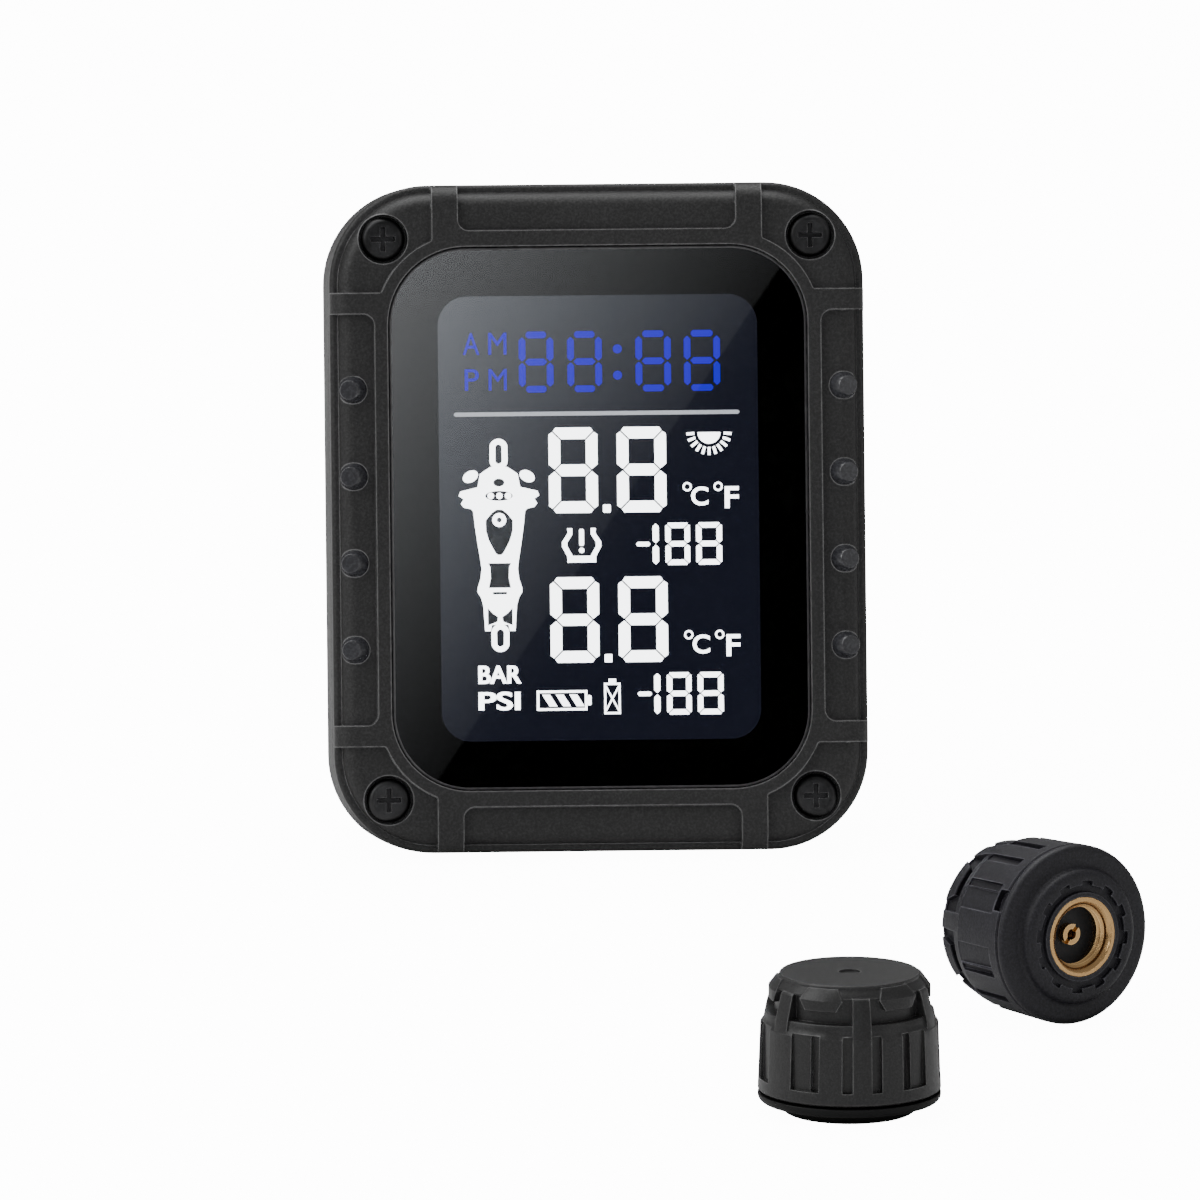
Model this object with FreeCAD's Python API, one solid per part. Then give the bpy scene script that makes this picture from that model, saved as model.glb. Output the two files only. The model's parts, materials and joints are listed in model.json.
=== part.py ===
"""A motorcycle tyre pressure monitor set: a display and two screw-on valve sensors."""
import FreeCAD, Part
import os
from math import cos, radians, sin, tan

from FreeCAD import Placement, Rotation, Vector

# Driving dimensions, millimetres and degrees.
# Display, in its own upright frame: +X right, +Y into the unit, +Z up, glass at Y = 0.
LEAN = 12.0
HALF_W, HALF_H = 32.5, 40.6
OUTLINE_R = 12.0
BEZEL_DEPTH = 7.0
PART_GAP = 0.3
COVER_FRONT = BEZEL_DEPTH + PART_GAP
COVER_BACK = 24.0
WALL = 1.8
FLOOR_INSET = 0.95
POCKET_DEPTH = 0.65
EDGE_ROUND = 2.4
FLANGE_Y, FLANGE_ROUND = 2.3, 0.6
HOLLOW_INSET = 2.7
GLASS_HALF_W, GLASS_HALF_H, GLASS_R = 25.35, 32.9, 9.3
GLASS_GAP = 0.2
GLASS_T = 1.6
TAPE_T = 0.3
WINDOW_HALF_W, WINDOW_HALF_H, WINDOW_R = 21.6, 29.2, 0.9
SIDE_POCKET_X, SIDE_POCKET_Z = 27.2, 25.0
END_POCKET_Z, END_POCKET_X = 35.05, 16.9
CORNER_POCKET_X, CORNER_POCKET_Z = 20.1, 27.6
CORNER_ARC_X, CORNER_ARC_Z, CORNER_ARC_R = 16.05, 23.6, 11.0
SCREW_X, SCREW_Z = 26.0, 34.1
SCREW_HEAD_R, SCREW_HEAD_T, SCREW_SHANK_R = 2.65, 1.6, 1.25
SCREW_SEAT_Y = 2.4
SCREW_END_Y = 13.2
INSERT_R = 2.1
STUD_X, STUD_Z = 29.9, (-15.8, -5.27, 5.27, 15.8)
STUD_TILT = 20.0
PCB_Y, PCB_T, PCB_HALF_W, PCB_HALF_H = 8.1, 1.2, 28.0, 29.8
PCB_BACK = PCB_Y + PCB_T
KEY_Z, KEY_PITCH, KEY_R, KEY_TRAVEL = 24.0, 14.0, 3.8, 0.5
SWITCH_TOP = PCB_BACK + 3.5
BRACKET_X, BRACKET_Z, BRACKET_BORE_R, BRACKET_LEN = 12.0, 5.0, 2.0, 6.0
PORT_Y, PORT_PAD_X = 10.8, 28.7
FLAP_HINGE_Y = 15.0

# Sensor, in its own upright frame: valve thread below, axis on Z, rim plane at Z = 0.
RIM_R, RIM_T = 10.8, 1.1
BOSS_R, BOSS_T = 8.1, 1.4
SKIRT_Z, SKIRT_TOP, SKIRT_TOP_R = 1.4, 9.4, 10.5
GRIP_Z = 3.0
LEDGE_R, LEDGE_TOP = 10.05, 11.0
BAND_R = 8.8
LIP_Z, LIP_R, BEVEL_TOP, CROWN_TOP_R, CROWN_TOP = 14.0, 9.05, 15.0, 8.3, 15.4
RIB_MID_R, RIB_TOP_R, RIB_WIDTH = 10.2, 9.45, 12.6
LUG_Z, LUG_BEND_Z, LUG_R, LUG_TOP_R, LUG_TOP = 12.45, 13.8, 9.55, 8.6, 15.1
LUG_WIDTH, LUG_NARROW_WIDTH = 33.0, 23.0
CAP_BORE_R, CAP_UPPER_BORE_R, CAP_CEILING = 9.2, 8.35, 12.6
RING_R, RING_BORE_R, RING_TOP = 8.9, 7.9, 5.6
HUB_R, HUB_TOP = 6.3, 4.6
BRASS_R, BRASS_TOP = 4.8, 3.4
THREAD_R, THREAD_END, THREAD_CHAMFER = 3.85, 0.7, 0.45
SEAT_Z, SEAT_R, SEAT_T = 1.9, 4.05, 0.8
PIN_R, PIN_BORE_R, PIN_TIP_Z = 1.25, 0.65, 0.75
PIN_SLOT_HALF_W, PIN_SLOT_DEPTH, PIN_SLOT_TURN = 0.28, 0.6, 35.0
RIM_ROUND, BOSS_ROUND, BOSS_ROOT_ROUND = 0.8, 1.0, 0.6
CELL_R, CELL_T, CELL_Z = 8.0, 3.2, 6.2
GRIP_PITCH = 60.0

# Where the two sensors stand, in the set's frame, whose origin is the middle of the display's foot.
SENSOR_A_XY, SENSOR_A_TURN = (21.8, -150.7), 5.0
SENSOR_B_XY, SENSOR_B_AIM, SENSOR_B_ROLL = (51.4, -105.9), 33.0, 98.0
SKIRT_SLOPE = 2.15


def box(x0, x1, y0, y1, z0, z1):
    return Part.makeBox(x1 - x0, y1 - y0, z1 - z0, Vector(x0, y0, z0))


def edges_along(shape, axis, keep=lambda edge: True):
    """The straight edges of a shape that run along one axis."""
    found = []
    for edge in shape.Edges:
        if edge.Curve.TypeId != "Part::GeomLine":
            continue
        start, end = edge.Vertexes[0].Point, edge.Vertexes[-1].Point
        if abs((end - start).normalize().dot(axis)) > 0.999 and keep(edge):
            found.append(edge)
    return found


def edges_at(shape, y):
    """The edges of a shape that lie wholly in the plane at one depth."""
    return [edge for edge in shape.Edges
            if abs(edge.BoundBox.YMin - y) < 1e-4 and abs(edge.BoundBox.YMax - y) < 1e-4]


def plate(half_w, half_h, corner_r, y0, y1, x=0.0, z=0.0):
    """A rounded rectangle seen from the front, as thick as y0 to y1."""
    block = box(x - half_w, x + half_w, y0, y1, z - half_h, z + half_h)
    return block.makeFillet(corner_r, edges_along(block, Vector(0, 1, 0)))


def rod(radius, y0, y1, x=0.0, z=0.0):
    return Part.makeCylinder(radius, y1 - y0, Vector(x, y0, z), Vector(0, 1, 0))


def post(radius, z0, z1, x=0.0, y=0.0):
    return Part.makeCylinder(radius, z1 - z0, Vector(x, y, z0))


def tube(outer_r, inner_r, z0, z1):
    return post(outer_r, z0, z1).cut(post(inner_r, z0 - 1, z1 + 1))


def corners():
    return [(sx, sz) for sx in (-1, 1) for sz in (-1, 1)]


# ---------------------------------------------------------------- display, front

def side_pocket_plan(side):
    outer = box(SIDE_POCKET_X, HALF_W + 4, -1, BEZEL_DEPTH + 1, -SIDE_POCKET_Z, SIDE_POCKET_Z)
    inner_edges = edges_along(outer, Vector(0, 1, 0), lambda e: e.BoundBox.XMax < HALF_W)
    plan = outer.makeFillet(1.35, inner_edges)
    return plan if side > 0 else plan.mirror(Vector(), Vector(1, 0, 0))


def end_pocket_plan(end):
    outer = box(-END_POCKET_X, END_POCKET_X, -1, BEZEL_DEPTH + 1, END_POCKET_Z, HALF_H + 4)
    inner_edges = edges_along(outer, Vector(0, 1, 0), lambda e: e.BoundBox.ZMax < HALF_H)
    plan = outer.makeFillet(1.35, inner_edges)
    return plan if end > 0 else plan.mirror(Vector(), Vector(0, 0, 1))


def corner_pocket_plan(side, end):
    plan = box(CORNER_POCKET_X, HALF_W + 4, -1, BEZEL_DEPTH + 1, CORNER_POCKET_Z, HALF_H + 4)
    plan = plan.cut(rod(CORNER_ARC_R, -2, BEZEL_DEPTH + 2, CORNER_ARC_X, CORNER_ARC_Z))
    sharp = edges_along(plan, Vector(0, 1, 0),
                        lambda e: e.BoundBox.XMax < HALF_W + 1 and e.BoundBox.ZMax < HALF_H + 1)
    plan = plan.makeFillet(0.3, sharp)
    if side < 0:
        plan = plan.mirror(Vector(), Vector(1, 0, 0))
    if end < 0:
        plan = plan.mirror(Vector(), Vector(0, 0, 1))
    return plan


def bezel_block(half_w, half_h, corner_r, y0, edge_round):
    block = plate(half_w, half_h, corner_r, y0, BEZEL_DEPTH)
    return block.makeFillet(edge_round, edges_at(block, y0))


def front_bezel():
    """The moulded front frame: raised bands, eight pockets, four screw wells."""
    proud = bezel_block(HALF_W, HALF_H, OUTLINE_R, 0.0, EDGE_ROUND)
    floor = bezel_block(HALF_W - FLOOR_INSET, HALF_H - FLOOR_INSET, OUTLINE_R - FLOOR_INSET,
                        POCKET_DEPTH, EDGE_ROUND - 0.4)
    flange = bezel_block(HALF_W, HALF_H, OUTLINE_R, FLANGE_Y, FLANGE_ROUND)
    plans = [side_pocket_plan(s) for s in (-1, 1)] + [end_pocket_plan(s) for s in (-1, 1)]
    plans += [corner_pocket_plan(*c) for c in corners()]
    for plan in plans:
        proud = proud.cut(plan)
    frame = proud.fuse(floor).fuse(flange).removeSplitter()
    frame = frame.cut(plate(GLASS_HALF_W + GLASS_GAP, GLASS_HALF_H + GLASS_GAP,
                            GLASS_R + GLASS_GAP, -1, GLASS_T + TAPE_T))
    frame = frame.cut(plate(WINDOW_HALF_W, WINDOW_HALF_H, WINDOW_R, 0, BEZEL_DEPTH + 1))
    hollow = plate(HALF_W - HOLLOW_INSET, HALF_H - HOLLOW_INSET, OUTLINE_R - HOLLOW_INSET,
                   4.0, BEZEL_DEPTH + 1)
    for sx, sz in corners():
        hollow = hollow.cut(rod(3.4, 3, BEZEL_DEPTH + 2, sx * SCREW_X, sz * SCREW_Z))
    frame = frame.cut(hollow)
    for sx, sz in corners():
        frame = frame.cut(rod(3.0, -1, SCREW_SEAT_Y, sx * SCREW_X, sz * SCREW_Z))
        frame = frame.cut(rod(1.45, 0, BEZEL_DEPTH + 1, sx * SCREW_X, sz * SCREW_Z))
    for side in (-1, 1):
        frame = frame.cut(grip_studs(side))
    return frame


def glass_lens():
    lens = plate(GLASS_HALF_W, GLASS_HALF_H, GLASS_R, 0, GLASS_T)
    return lens.makeChamfer(0.25, edges_at(lens, 0))


def lens_adhesive():
    ring = plate(GLASS_HALF_W - 0.4, GLASS_HALF_H - 0.4, GLASS_R - 0.4, GLASS_T, GLASS_T + TAPE_T)
    return ring.cut(plate(WINDOW_HALF_W + 0.4, WINDOW_HALF_H + 0.4, WINDOW_R, 0, 3))


def lcd_panel():
    return plate(20.9, 28.5, 0.6, GLASS_T + 0.1, GLASS_T + 2.2)


def lcd_backlight():
    return plate(20.5, 28.1, 0.8, 3.9, 5.9)


def lcd_holder():
    """The white frame that carries the backlight on the board."""
    frame = plate(21.2, 28.9, 1.0, 6.0, PCB_Y).cut(plate(18.5, 26.0, 1.0, 5, PCB_Y + 1))
    clips = box(-21.2, -20.7, 4.2, 6.0, -6, 6).fuse(box(20.7, 21.2, 4.2, 6.0, -6, 6))
    return frame.fuse(clips)


def lcd_flex():
    """The flat ribbon from the panel's lower edge to the board."""
    strip = box(-9, 9, 3.0, PCB_Y, -29.1, -28.95)
    return strip.fuse(box(-9, 9, 2.9, 3.05, -29.1, -28.55))


def main_pcb():
    board = plate(PCB_HALF_W, PCB_HALF_H, 2.0, PCB_Y, PCB_BACK)
    return board.cut(box(-9.5, 9.5, PCB_Y - 1, PCB_BACK + 1, -40, -28.9))


def housing_screws():
    """Four cross-head pan screws, M2.5, driven in from the front."""
    screws = []
    for sx, sz in corners():
        x, z = sx * SCREW_X, sz * SCREW_Z
        head = rod(SCREW_HEAD_R, SCREW_SEAT_Y - SCREW_HEAD_T, SCREW_SEAT_Y, x, z)
        head = head.makeFillet(0.9, edges_at(head, SCREW_SEAT_Y - SCREW_HEAD_T))
        top = SCREW_SEAT_Y - SCREW_HEAD_T
        for angle in (0, 90):
            slot = box(-1.45, 1.45, -1, 0.9, -0.28, 0.28)
            slot.rotate(Vector(), Vector(0, 1, 0), angle)
            slot.translate(Vector(x, top, z))
            head = head.cut(slot)
        screws.append(head.fuse(rod(SCREW_SHANK_R, SCREW_SEAT_Y, SCREW_END_Y, x, z)))
    return Part.makeCompound(screws)


def stud(side, z):
    """A soft cone nub that leans outward with the pocket floor."""
    nub = Part.makeCone(1.75, 1.15, 1.5, Vector(0, 0, 0), Vector(0, -1, 0))
    nub = nub.fuse(rod(1.75, 0, 0.5))
    nub.rotate(Vector(), Vector(0, 0, 1), side * STUD_TILT)
    nub.translate(Vector(side * STUD_X, POCKET_DEPTH + 0.35, z))
    return nub


def grip_studs(side):
    return Part.makeCompound([stud(side, z) for z in STUD_Z])


# ---------------------------------------------------------------- display, back

def floor_cut(inset=0.0):
    """Everything below the sloped foot that lets the display lean back on a table."""
    slab = box(-60, 60, -60, 60, -60, 0)
    slab.rotate(Vector(), Vector(1, 0, 0), LEAN)
    slab.translate(Vector(0, COVER_FRONT, -HALF_H + inset))
    return slab


def key_places():
    return [(-KEY_PITCH, KEY_Z), (0.0, KEY_Z), (KEY_PITCH, KEY_Z)]


def back_cover():
    """The rear shell: bosses, key holes, bracket inserts' bosses and the port pad."""
    shell = plate(HALF_W, HALF_H, OUTLINE_R, COVER_FRONT, COVER_BACK)
    shell = shell.makeFillet(3.0, edges_at(shell, COVER_BACK))
    shell = shell.makeChamfer(0.4, edges_at(shell, COVER_FRONT))
    shell = shell.cut(floor_cut())
    inner = plate(HALF_W - WALL, HALF_H - WALL, OUTLINE_R - WALL, COVER_FRONT - 1, COVER_BACK - WALL)
    inner = inner.makeFillet(1.4, edges_at(inner, COVER_BACK - WALL))
    inner = inner.cut(floor_cut(WALL))
    for sx, sz in corners():
        inner = inner.cut(rod(3.3, COVER_FRONT + 0.2, COVER_BACK, sx * SCREW_X, sz * SCREW_Z))
    for sx in (-1, 1):
        inner = inner.cut(rod(4.6, COVER_BACK - BRACKET_LEN - 1.2, COVER_BACK,
                              sx * BRACKET_X, BRACKET_Z))
    inner = inner.cut(box(PORT_PAD_X, HALF_W, 7.9, 18.0, -10.5, 10.5))
    shell = shell.cut(inner)
    for sx, sz in corners():
        shell = shell.cut(rod(INSERT_R, COVER_FRONT, SCREW_END_Y + 1.0, sx * SCREW_X, sz * SCREW_Z))
    for sx in (-1, 1):
        shell = shell.cut(rod(3.0, COVER_BACK - BRACKET_LEN, COVER_BACK + 1,
                              sx * BRACKET_X, BRACKET_Z))
    for x, z in key_places():
        shell = shell.cut(rod(KEY_R + 0.3, COVER_BACK - 4, COVER_BACK + 1, x, z))
    shell = shell.cut(box(PORT_PAD_X - 1, HALF_W, PORT_Y - 1.9, PORT_Y + 1.9, -5.0, 5.0))
    shell = shell.cut(box(31.0, HALF_W + 1, 8.4, 16.2, -8.3, 8.3))
    return shell


def usb_flap():
    """The soft plug that closes the charging port, on a rolled hinge edge."""
    leaf = box(31.3, HALF_W, 8.7, FLAP_HINGE_Y, -8, 8)
    roll = Part.makeCylinder(0.6, 16, Vector(31.9, FLAP_HINGE_Y, -8), Vector(0, 0, 1))
    plug = box(29.7, 31.3, PORT_Y - 1.4, PORT_Y + 1.4, -4.4, 4.4)
    return leaf.fuse(roll).fuse(plug)


def usb_connector():
    shell = box(21.1, PORT_PAD_X - 0.1, PCB_BACK, PCB_BACK + 3.2, -4.5, 4.5)
    mouth = box(22.5, PORT_PAD_X, PCB_BACK + 0.35, PCB_BACK + 2.85, -4.15, 4.15)
    tongue = box(22.5, PORT_PAD_X - 0.9, PCB_BACK + 1.25, PCB_BACK + 1.95, -3.2, 3.2)
    return shell.cut(mouth).fuse(tongue)


def housing_seal():
    """The flat gasket between the bezel and the back cover."""
    ring = plate(HALF_W - 0.9, HALF_H - 0.9, OUTLINE_R - 0.9, BEZEL_DEPTH, COVER_FRONT)
    return ring.cut(plate(HALF_W - 1.7, HALF_H - 1.7, OUTLINE_R - 1.7, 0, 10))


def screw_inserts():
    sleeves = []
    for sx, sz in corners():
        sleeve = rod(INSERT_R, COVER_FRONT + 0.2, SCREW_END_Y + 0.8, sx * SCREW_X, sz * SCREW_Z)
        sleeves.append(sleeve.cut(rod(SCREW_SHANK_R, 0, 30, sx * SCREW_X, sz * SCREW_Z)))
    return Part.makeCompound(sleeves)


def bracket_inserts():
    """Two brass M4 inserts, open to the back, for a handlebar bracket."""
    sleeves = []
    for sx in (-1, 1):
        sleeve = rod(3.0, COVER_BACK - BRACKET_LEN, COVER_BACK, sx * BRACKET_X, BRACKET_Z)
        sleeves.append(sleeve.cut(rod(BRACKET_BORE_R, 0, 30, sx * BRACKET_X, BRACKET_Z)))
    return Part.makeCompound(sleeves)


def key(x, z):
    """A silicone key: domed cap, inner flange and a stem down to its switch."""
    cap = rod(KEY_R, COVER_BACK - WALL - 0.1, COVER_BACK + 0.7, x, z)
    cap = cap.makeFillet(0.5, edges_at(cap, COVER_BACK + 0.7))
    flange = rod(KEY_R + 0.9, COVER_BACK - WALL - 1.1, COVER_BACK - WALL - 0.1, x, z)
    stem = rod(1.6, SWITCH_TOP + KEY_TRAVEL + 0.15, COVER_BACK - WALL - 1.1, x, z)
    return cap.fuse(flange).fuse(stem)


def tact_switches():
    switches = []
    for x, z in key_places():
        body = box(x - 3, x + 3, PCB_BACK, SWITCH_TOP - 0.7, z - 3, z + 3)
        switches.append(body.fuse(rod(1.7, SWITCH_TOP - 0.7, SWITCH_TOP, x, z)))
    return Part.makeCompound(switches)


def battery_pack():
    cell = box(-21, 21, 14.6, 20.2, -33.0, -3.5)
    return cell.makeFillet(1.2, edges_along(cell, Vector(0, 0, 1)))


def battery_foam():
    return box(-16, 16, 20.2, COVER_BACK - WALL, -30.0, -6.0)


def mcu_chip():
    return box(-5, 5, PCB_BACK, PCB_BACK + 1.0, 4, 14)


def radio_shield():
    can = box(-24, -9, PCB_BACK, PCB_BACK + 2.0, -2, 12)
    return can.cut(box(-23.7, -9.3, PCB_BACK - 1, PCB_BACK + 1.7, -1.7, 11.7))


def antenna_coil():
    """A short helical spring antenna soldered beside the radio can."""
    turns = Part.makeHelix(1.5, 12.0, 2.2)
    wire = Part.Wire(turns.Edges)
    start = wire.Vertexes[0].Point
    disc = Part.Wire(Part.makeCircle(0.35, start, Vector(0, 1, 0.15)))
    coil = wire.makePipeShell([disc], True, True)
    coil.translate(Vector(-24.5, PCB_BACK + 2.65, 15.0))
    return coil


def buzzer():
    can = rod(4.5, PCB_BACK, PCB_BACK + 3.4, 14.0, 12.5)
    return can.cut(rod(1.0, PCB_BACK + 2.6, PCB_BACK + 4, 14.0, 12.5))


# ---------------------------------------------------------------- sensor

def revolved(points):
    """A solid turned about Z from (radius, height) points."""
    outline = Part.makePolygon([Vector(r, 0, z) for r, z in points + points[:1]])
    return Part.Face(outline).revolve(Vector(), Vector(0, 0, 1), 360)


def sector(r0, r1, z0, z1, centre, width):
    """A slice of a ring, centred on an angle that is counted from -Y."""
    slice_ = Part.makeCylinder(r1, z1 - z0, Vector(0, 0, z0), Vector(0, 0, 1), width)
    slice_ = slice_.cut(post(r0, z0 - 1, z1 + 1))
    slice_.rotate(Vector(), Vector(0, 0, 1), centre - width / 2 - 90)
    return slice_


def lug(centre):
    """One six-sided boss on the crown's bevel: upright below, leaning in above."""
    ring = revolved([(BAND_R - 0.3, LUG_Z), (LUG_R - 0.1, LUG_Z), (LUG_R, LUG_Z + 0.1),
                     (LUG_R, LUG_BEND_Z), (LUG_TOP_R, LUG_TOP), (BAND_R - 1.2, LUG_TOP)])
    inner, outer = BAND_R - 3.0, LUG_R + 1.0
    sections = []
    for z, width in ((LUG_Z - 0.01, LUG_NARROW_WIDTH), (LUG_BEND_Z, LUG_WIDTH),
                     (CROWN_TOP, LUG_NARROW_WIDTH)):
        half = radians(width / 2)
        points = [Vector(r * sin(a), -r * cos(a), z)
                  for r, a in ((inner, -half), (outer, -half), (outer, half), (inner, half))]
        sections.append(Part.makePolygon(points + points[:1]))
    wedge = Part.makeLoft(sections[:2], True, True).fuse(Part.makeLoft(sections[1:], True, True))
    piece = ring.common(wedge)
    piece.rotate(Vector(), Vector(0, 0, 1), centre)
    return piece


def rib(centre):
    """One upright bar that runs from the skirt over the ledge up to the crown's lip."""
    ring = revolved([(BAND_R - 0.3, SKIRT_TOP - 0.4), (SKIRT_TOP_R - 0.05, SKIRT_TOP - 0.4),
                     (SKIRT_TOP_R - 0.05, SKIRT_TOP), (RIB_MID_R, LEDGE_TOP),
                     (RIB_TOP_R, LIP_Z - 0.1), (RIB_TOP_R - 0.2, LIP_Z + 0.1),
                     (BAND_R - 0.3, LIP_Z + 0.1)])
    return ring.common(sector(BAND_R - 1, RIM_R + 1, SKIRT_Z, CROWN_TOP, centre, RIB_WIDTH))


def sensor_cover():
    """The screw-off cap: gripped skirt, undercut band with ribs, and a bevelled crown."""
    body = revolved([(CAP_BORE_R, SKIRT_Z), (RIM_R - 0.2, SKIRT_Z), (RIM_R, SKIRT_Z + 0.2),
                     (SKIRT_TOP_R, SKIRT_TOP), (LEDGE_R + 0.1, SKIRT_TOP + 0.5),
                     (LEDGE_R - 0.1, LEDGE_TOP - 0.1), (LEDGE_R - 0.2, LEDGE_TOP),
                     (BAND_R, LEDGE_TOP), (BAND_R, LIP_Z), (LIP_R, LIP_Z), (LIP_R, LIP_Z + 0.2),
                     (CROWN_TOP_R, BEVEL_TOP), (CROWN_TOP_R, CROWN_TOP - 0.15),
                     (CROWN_TOP_R - 0.15, CROWN_TOP),
                     (0, CROWN_TOP), (0, CAP_CEILING), (CAP_UPPER_BORE_R, CAP_CEILING),
                     (CAP_UPPER_BORE_R, RING_TOP + 1.2), (CAP_BORE_R, RING_TOP + 0.4)])
    for turn in range(6):
        body = body.fuse(rib(turn * GRIP_PITCH))
        body = body.fuse(lug((turn + 0.5) * GRIP_PITCH))
    cuts = []
    for turn in range(3):
        main_rib = turn * 2 * GRIP_PITCH
        for side in (-1, 1):
            cuts.append(sector(RIM_R - 0.75, RIM_R + 1, GRIP_Z, SKIRT_TOP + 0.3,
                               main_rib + side * 9.55, 6.5))
            cuts.append(sector(RIM_R - 0.75, RIM_R + 1, GRIP_Z, SKIRT_TOP + 0.3,
                               main_rib + side * 31.0, 5.5))
            cuts.append(sector(RIM_R - 0.55, RIM_R + 1, GRIP_Z, SKIRT_TOP + 0.3,
                               main_rib + side * 41.3, 14.7))
    cuts.append(sector(RIM_R - 0.9, RIM_R + 1, SKIRT_Z - 1, SKIRT_Z + 1.4, 180.0 + 20.75, 14.5))
    cuts.append(post(1.3, CROWN_TOP - 0.3, CROWN_TOP + 1))
    for cut in cuts:
        body = body.cut(cut)
    return body


def rounded_disc(radius, z0, z1, edge_round):
    """A disc with its lower edge rounded."""
    disc = post(radius, z0, z1)
    return disc.makeFillet(edge_round, [e for e in disc.Edges if e.BoundBox.ZMax < z0 + 0.01])


def sensor_base():
    """The base disc with its wrench ring, brass boss and the ring the cover screws onto."""
    disc = rounded_disc(RIM_R, 0, RIM_T, RIM_ROUND)
    boss = rounded_disc(BOSS_R, -BOSS_T, 0.1, BOSS_ROUND)
    base = disc.fuse(boss)
    root = [e for e in base.Edges if e.Curve.TypeId == "Part::GeomCircle"
            and abs(e.Curve.Radius - BOSS_R) < 0.01 and abs(e.BoundBox.ZMax) < 0.01]
    base = base.makeFillet(BOSS_ROOT_ROUND, root)
    base = base.fuse(tube(RING_R, RING_BORE_R, RIM_T - 0.1, RING_TOP))
    base = base.fuse(post(HUB_R, RIM_T - 0.1, HUB_TOP))
    base = base.cut(tube(RING_R + 1, RING_R - 0.75, 1.95, 2.95))
    base = base.cut(post(BRASS_R, -BOSS_T - 1, BRASS_TOP)).cut(post(3.6, 0, HUB_TOP + 1))
    recess = tube(6.2, 5.4, -BOSS_T - 1, -BOSS_T + 0.6)
    for tooth in range(12):
        recess = recess.fuse(sector(5.8, 6.75, -BOSS_T - 1, -BOSS_T + 0.6, tooth * 30.0, 13))
    return base.cut(recess)


def valve_insert():
    """The brass insert with the valve thread, drawn as a plain bore at its major diameter."""
    outer = post(BRASS_R, -BOSS_T, BRASS_TOP)
    bore = post(THREAD_R, -BOSS_T - 1, THREAD_END).fuse(post(SEAT_R, THREAD_END, SEAT_Z + SEAT_T))
    mouth = Part.makeCone(THREAD_R + THREAD_CHAMFER, THREAD_R, THREAD_CHAMFER,
                          Vector(0, 0, -BOSS_T))
    return outer.cut(bore).cut(mouth).cut(post(PIN_R - 0.3, 0, BRASS_TOP + 1))


def valve_seat():
    return tube(SEAT_R, PIN_R, SEAT_Z, SEAT_Z + SEAT_T)


def depressor_pin():
    """The hollow brass pin that opens the tyre valve's core."""
    pin = tube(PIN_R, PIN_BORE_R, PIN_TIP_Z, SEAT_Z + SEAT_T)
    slot = box(-PIN_R, PIN_R, -PIN_SLOT_HALF_W, PIN_SLOT_HALF_W,
               PIN_TIP_Z - 1, PIN_TIP_Z + PIN_SLOT_DEPTH)
    slot.rotate(Vector(), Vector(0, 0, 1), PIN_SLOT_TURN)
    pin = pin.cut(slot)
    return pin.fuse(tube(PIN_R - 0.3, PIN_BORE_R, SEAT_Z + SEAT_T, BRASS_TOP))


def cover_oring():
    return Part.makeTorus(8.62, 0.45, Vector(0, 0, 2.45))


def sensor_pcb():
    return post(7.6, HUB_TOP, HUB_TOP + 0.8)


def pressure_chip():
    return box(-1.6, 1.6, -1.6, 1.6, HUB_TOP - 0.9, HUB_TOP)


def battery_clip():
    clip = tube(7.0, 4.0, CELL_Z - 0.3, CELL_Z)
    for turn in range(3):
        clip = clip.fuse(post(0.8, HUB_TOP + 0.8, CELL_Z - 0.1,
                              5.5 * cos(radians(120 * turn)), 5.5 * sin(radians(120 * turn))))
    return clip


def coin_cell():
    """A CR1632 lithium cell."""
    can = post(CELL_R, CELL_Z + 0.5, CELL_Z + CELL_T)
    return can.fuse(post(CELL_R - 1.2, CELL_Z, CELL_Z + 0.5))


def cap_pad():
    return post(6.0, CELL_Z + CELL_T + 0.1, CAP_CEILING - 0.1)


# ---------------------------------------------------------------- the set

def display_placement():
    """Lean the display back and put the middle of its foot at the origin."""
    lean = Rotation(Vector(1, 0, 0), -LEAN)
    foot_y = (COVER_FRONT + COVER_BACK - 2.0) / 2
    foot = Vector(0, foot_y, -HALF_H + (foot_y - COVER_FRONT) * tan(radians(LEAN)))
    return Placement(lean.multVec(foot) * -1, lean)


def sensor_a_placement():
    return Placement(Vector(*SENSOR_A_XY, BOSS_T), Rotation(Vector(0, 0, 1), SENSOR_A_TURN))


def sensor_b_placement():
    """Lying on its skirt: the axis tips up at the mouth by the skirt's slope."""
    lie = Rotation(Vector(1, 0, 0), -90.0 - SKIRT_SLOPE)
    aim = Rotation(Vector(0, 0, 1), SENSOR_B_AIM)
    roll = Rotation(Vector(0, 0, 1), SENSOR_B_ROLL)
    height = RIM_R * cos(radians(SKIRT_SLOPE)) + 0.02
    return Placement(Vector(*SENSOR_B_XY, height), aim * lie * roll)


DISPLAY_NODES = {
    "front_bezel": front_bezel, "back_cover": back_cover, "glass_lens": glass_lens,
    "lens_adhesive": lens_adhesive, "lcd_panel": lcd_panel, "lcd_backlight": lcd_backlight,
    "lcd_holder": lcd_holder, "lcd_flex": lcd_flex, "main_pcb": main_pcb,
    "housing_screws": housing_screws, "screw_inserts": screw_inserts,
    "bracket_inserts": bracket_inserts, "housing_seal": housing_seal,
    "left_grip_studs": lambda: grip_studs(-1), "right_grip_studs": lambda: grip_studs(1),
    "usb_connector": usb_connector, "usb_flap": usb_flap, "tact_switches": tact_switches,
    "battery_pack": battery_pack, "battery_foam": battery_foam, "mcu_chip": mcu_chip,
    "radio_shield": radio_shield, "antenna_coil": antenna_coil, "buzzer": buzzer,
    "key_down": lambda: key(*key_places()[0]), "key_set": lambda: key(*key_places()[1]),
    "key_up": lambda: key(*key_places()[2]),
}

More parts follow.
